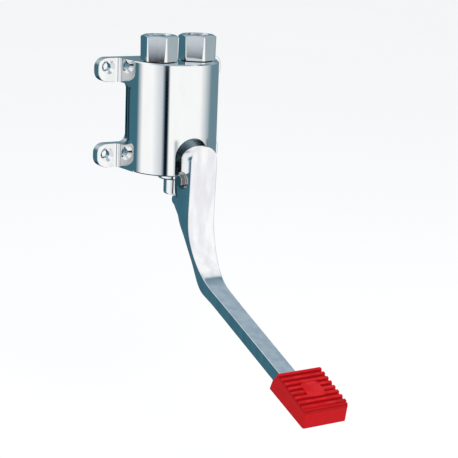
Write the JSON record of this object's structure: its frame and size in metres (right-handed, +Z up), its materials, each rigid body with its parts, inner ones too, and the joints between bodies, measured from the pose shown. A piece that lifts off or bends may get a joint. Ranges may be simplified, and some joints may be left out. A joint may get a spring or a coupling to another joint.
{
  "type": "foot pedal tap valve",
  "caption": "Wall-mounted foot pedal tap valve: chromed body with lugs, twin hexagon pipe connectors on top, and a bent lever with a red ribbed rubber pad.",
  "frame": {"origin": "middle of the four wall screw holes, on the wall plane", "axes": "+Z up, -Y out of the wall towards the user, +X to the right seen from the front"},
  "size_m": [0.1132, 0.2676, 0.2504],
  "materials": {
    "body_chrome": "polished chrome plate on cast brass",
    "connector_chrome": "polished chrome plate",
    "gland_chrome": "chrome plate, turned",
    "cap_chrome": "chrome plate, turned",
    "lever_chrome": "polished chrome plate",
    "fibre": "hard red fibre",
    "strainer_steel": "thin stainless",
    "cartridge_plastic": "moulded",
    "inner_brass": "turned",
    "seal_rubber": "smooth",
    "seal_plastic": "smooth",
    "bush_plastic": "smooth",
    "spring_steel": "drawn wire",
    "bolt_steel": "bright zinc plate",
    "pad_rubber": "moulded matt red"
  },
  "bodies": {
    "housing": {"valve_body": "body_chrome", "inlet_connector": "connector_chrome", "outlet_connector": "connector_chrome", "connector_washers": "fibre", "inlet_strainer": "strainer_steel", "check_cartridge": "cartridge_plastic", "flow_disc": "cartridge_plastic", "valve_seat": "inner_brass", "gland_nut": "gland_chrome", "gland_washer": "seal_rubber", "stem_seal": "seal_rubber", "seal_backing": "seal_plastic", "return_spring": "spring_steel", "pivot_bolt": "bolt_steel", "pivot_washers": "bolt_steel", "pivot_nut": "bolt_steel", "pivot_spacer": "seal_plastic"},
    "stem": {"push_stem": "inner_brass", "disc_rubber": "seal_rubber", "disc_holder": "inner_brass", "disc_nut": "inner_brass", "stem_cap": "cap_chrome"},
    "pedal": {"lever": "lever_chrome", "pivot_bushes": "bush_plastic", "pad_plate": "bolt_steel", "pad_screws": "bolt_steel", "pedal_pad": "pad_rubber"}
  },
  "joints": [
    {"name": "pedal_hinge", "type": "hinge", "parent": "housing", "child": "pedal", "pos_m": [0, -0.0704, -0.0479], "axis": [1, 0, 0], "range_deg": [0, 10]},
    {"name": "stem_slide", "type": "slide", "parent": "housing", "child": "stem", "axis": [0, 0, 1], "range_m": [0, 0.005], "stiffness_N_per_m": 6000, "springref_m": -0.006, "deforming": ["return_spring"]}
  ],
  "couplings": [
    {"joint": "stem_slide", "follows": "pedal_hinge", "m_per_rad": 0.02814}
  ]
}
